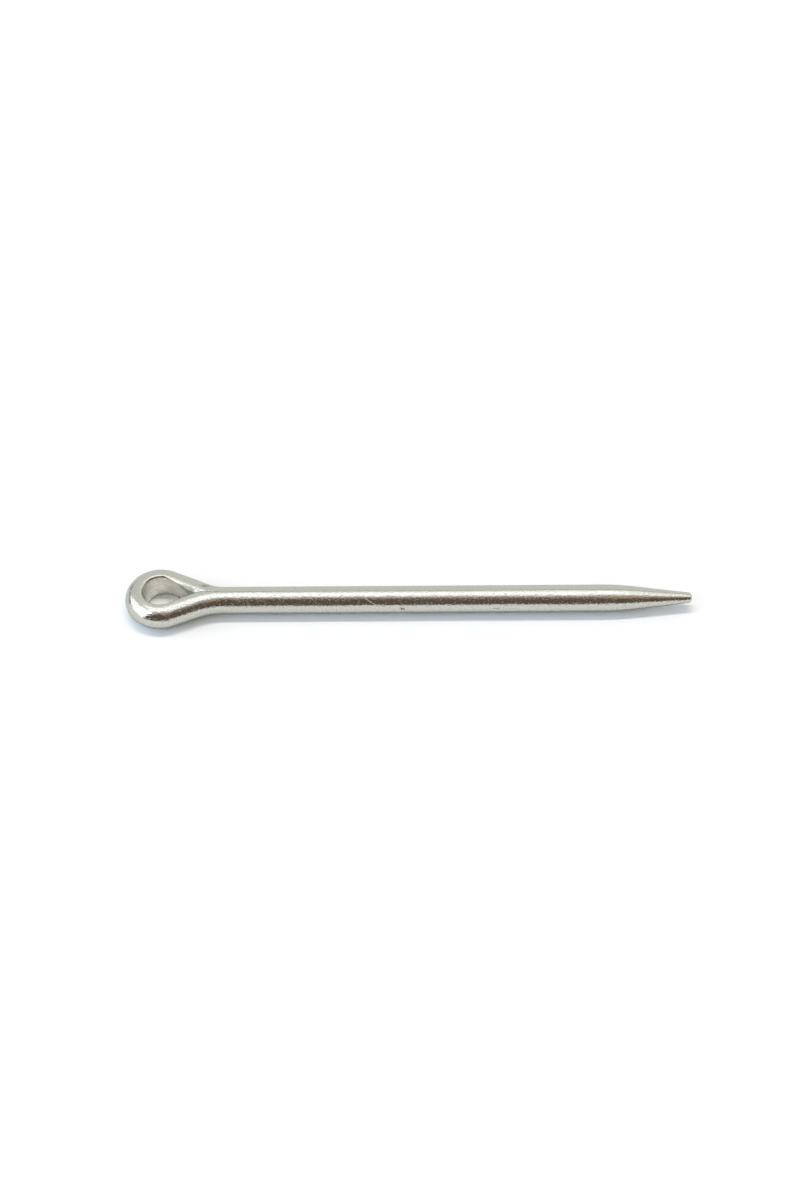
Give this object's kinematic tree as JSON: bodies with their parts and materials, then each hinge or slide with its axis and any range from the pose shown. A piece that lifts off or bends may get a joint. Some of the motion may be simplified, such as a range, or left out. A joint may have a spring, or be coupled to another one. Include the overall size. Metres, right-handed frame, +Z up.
{
  "type": "cotter pin",
  "caption": "Split pin of folded half-round steel wire, with an open eye, a round shank made of two legs lying flat to flat, and a tapered point.",
  "frame": {"origin": "on the shank's axis at the neck, where the shank stops being straight and the legs part towards the eye", "axes": "+X along the shank towards the point, +Y across the eye, +Z up through the eye, with the eye lying flat in the XY plane"},
  "size_m": [0.0926, 0.0114, 0.0044],
  "materials": {
    "bright_steel": "bright drawn steel, lightly polished, with fine lines along the wire and small handling marks"
  },
  "bodies": {
    "root": {"cotter_pin": "bright_steel"}
  },
  "joints": []
}
